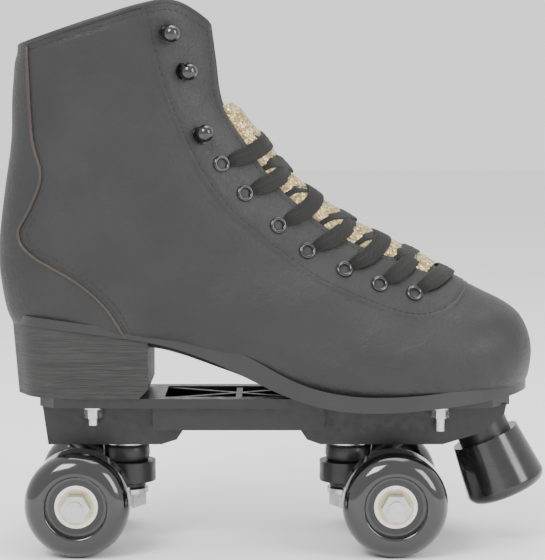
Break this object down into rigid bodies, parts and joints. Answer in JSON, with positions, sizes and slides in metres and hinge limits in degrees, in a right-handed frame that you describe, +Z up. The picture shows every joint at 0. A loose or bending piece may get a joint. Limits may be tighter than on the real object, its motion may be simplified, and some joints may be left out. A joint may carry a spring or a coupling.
{
  "type": "quad roller skate",
  "caption": "High laced boot on a plate with steering trucks at front and rear, wheels at both ends of their axles, and a toe stop.",
  "frame": {"origin": "on the ground, at the centre of the bounding box's bottom", "axes": "+X towards the toe, +Y towards the inner side of the foot, +Z up"},
  "size_m": [0.2868, 0.117, 0.2821],
  "materials": {
    "upper_leather": "satin, fine grain",
    "piping": "satin",
    "gold_lining": "glitter",
    "lace_weave": "woven, matte",
    "insole_fabric": "matte",
    "sole_rubber": "satin",
    "heel_rubber": "matte, stacked grain",
    "black_enamel": "gloss",
    "plate_nylon": "satin",
    "cushion_rubber": "satin",
    "toe_stop_rubber": "gloss",
    "wheel_urethane": "gloss",
    "hub_nylon": "gloss",
    "gold_shield": "satin",
    "bearing_steel": "polished",
    "zinc_steel": "zinc plated"
  },
  "bodies": {
    "root": {"counter_piping": "piping", "cushion_lower_front": "cushion_rubber", "cushion_lower_rear": "cushion_rubber", "cushion_upper_front": "cushion_rubber", "cushion_upper_rear": "cushion_rubber", "cushion_washers": "zinc_steel", "eyelets": "black_enamel", "eyestay_left": "upper_leather", "eyestay_right": "upper_leather", "heel_block": "heel_rubber", "heel_counter": "upper_leather", "insole": "insole_fabric", "kingpin_nuts": "zinc_steel", "kingpins": "zinc_steel", "lace_hooks": "black_enamel", "laces": "lace_weave", "lining": "gold_lining", "mounting_bolts": "zinc_steel", "mounting_nuts": "zinc_steel", "mounting_washers": "zinc_steel", "outsole": "sole_rubber", "pivot_cups": "cushion_rubber", "plate": "plate_nylon", "quarter_left": "upper_leather", "quarter_right": "upper_leather", "toe_stop": "toe_stop_rubber", "toe_stop_bolt": "zinc_steel", "toe_stop_nut": "zinc_steel", "tongue": "gold_lining", "vamp": "upper_leather"},
    "truck_rear": {"axle_nuts_rear": "zinc_steel", "axle_rear": "zinc_steel", "bearing_balls_rear": "bearing_steel", "bearing_inner_rings_rear": "bearing_steel", "bearing_spacers_rear": "bearing_steel", "truck_hanger_rear": "plate_nylon"},
    "wheel_rear_right": {"bearing_outer_rings_rear_right": "bearing_steel", "bearing_shields_rear_right": "gold_shield", "wheel_hub_rear_right": "hub_nylon", "wheel_tyre_rear_right": "wheel_urethane"},
    "wheel_rear_left": {"bearing_outer_rings_rear_left": "bearing_steel", "bearing_shields_rear_left": "gold_shield", "wheel_hub_rear_left": "hub_nylon", "wheel_tyre_rear_left": "wheel_urethane"},
    "truck_front": {"axle_front": "zinc_steel", "axle_nuts_front": "zinc_steel", "bearing_balls_front": "bearing_steel", "bearing_inner_rings_front": "bearing_steel", "bearing_spacers_front": "bearing_steel", "truck_hanger_front": "plate_nylon"},
    "wheel_front_right": {"bearing_outer_rings_front_right": "bearing_steel", "bearing_shields_front_right": "gold_shield", "wheel_hub_front_right": "hub_nylon", "wheel_tyre_front_right": "wheel_urethane"},
    "wheel_front_left": {"bearing_outer_rings_front_left": "bearing_steel", "bearing_shields_front_left": "gold_shield", "wheel_hub_front_left": "hub_nylon", "wheel_tyre_front_left": "wheel_urethane"}
  },
  "joints": [
    {"name": "steer_rear", "type": "hinge", "parent": "root", "child": "truck_rear", "pos_m": [-0.107, 0, 0.057], "axis": [0.8352, 0, -0.5499], "range_deg": [-8, 8], "stiffness_Nm_per_rad": 10, "deforming": ["cushion_upper_rear", "cushion_lower_rear"]},
    {"name": "spin_rear_right", "type": "hinge", "parent": "truck_rear", "child": "wheel_rear_right", "pos_m": [-0.0995, -0.0385, 0.027], "axis": [0, 1, 0], "continuous": true},
    {"name": "spin_rear_left", "type": "hinge", "parent": "truck_rear", "child": "wheel_rear_left", "pos_m": [-0.0995, 0.0385, 0.027], "axis": [0, 1, 0], "continuous": true},
    {"name": "steer_front", "type": "hinge", "parent": "root", "child": "truck_front", "pos_m": [0.07, 0, 0.057], "axis": [0.8352, 0, 0.5499], "range_deg": [-8, 8], "stiffness_Nm_per_rad": 10, "deforming": ["cushion_upper_front", "cushion_lower_front"]},
    {"name": "spin_front_right", "type": "hinge", "parent": "truck_front", "child": "wheel_front_right", "pos_m": [0.0625, -0.0385, 0.027], "axis": [0, 1, 0], "continuous": true},
    {"name": "spin_front_left", "type": "hinge", "parent": "truck_front", "child": "wheel_front_left", "pos_m": [0.0625, 0.0385, 0.027], "axis": [0, 1, 0], "continuous": true}
  ]
}
